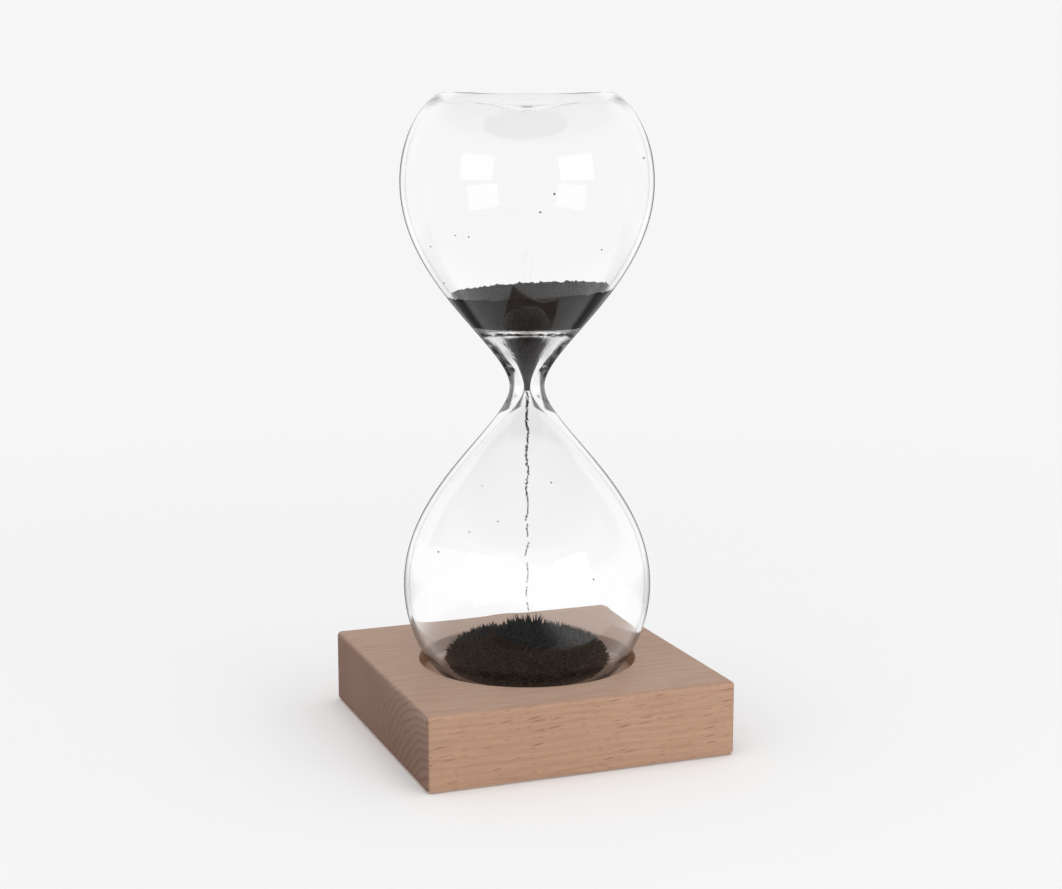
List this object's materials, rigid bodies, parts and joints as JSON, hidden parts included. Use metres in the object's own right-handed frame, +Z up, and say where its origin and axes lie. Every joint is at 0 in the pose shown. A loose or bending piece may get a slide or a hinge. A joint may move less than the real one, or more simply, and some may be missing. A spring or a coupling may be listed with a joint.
{
  "type": "magnetic hourglass",
  "caption": "Blown glass hourglass of black iron filings that stands in a round seat on a square wooden block, where a hidden magnet makes the falling filings bristle.",
  "frame": {"origin": "middle of the block's underside, on the axis of the glass", "axes": "+Z up along the axis of the glass, X and Y square to the block's sides"},
  "size_m": [0.08, 0.08, 0.1623],
  "materials": {
    "beech": "sanded pale beech with short dark flecks, unvarnished",
    "ferrite": "ground dark grey ferrite",
    "felt": "pressed dark grey felt",
    "glass": "clear blown glass, thick at the neck",
    "filings": "fine black iron filings"
  },
  "bodies": {
    "base": {"base_block": "beech", "magnet": "ferrite", "pocket_cover": "felt"},
    "glass": {"glass_vessel": "glass", "fill_seal": "glass", "upper_sand": "filings", "sand_stream": "filings", "lower_sand": "filings"}
  },
  "joints": [
    {"name": "glass_lift", "type": "slide", "parent": "base", "child": "glass", "axis": [0, 0, 1], "range_m": [0, 0.08]}
  ]
}
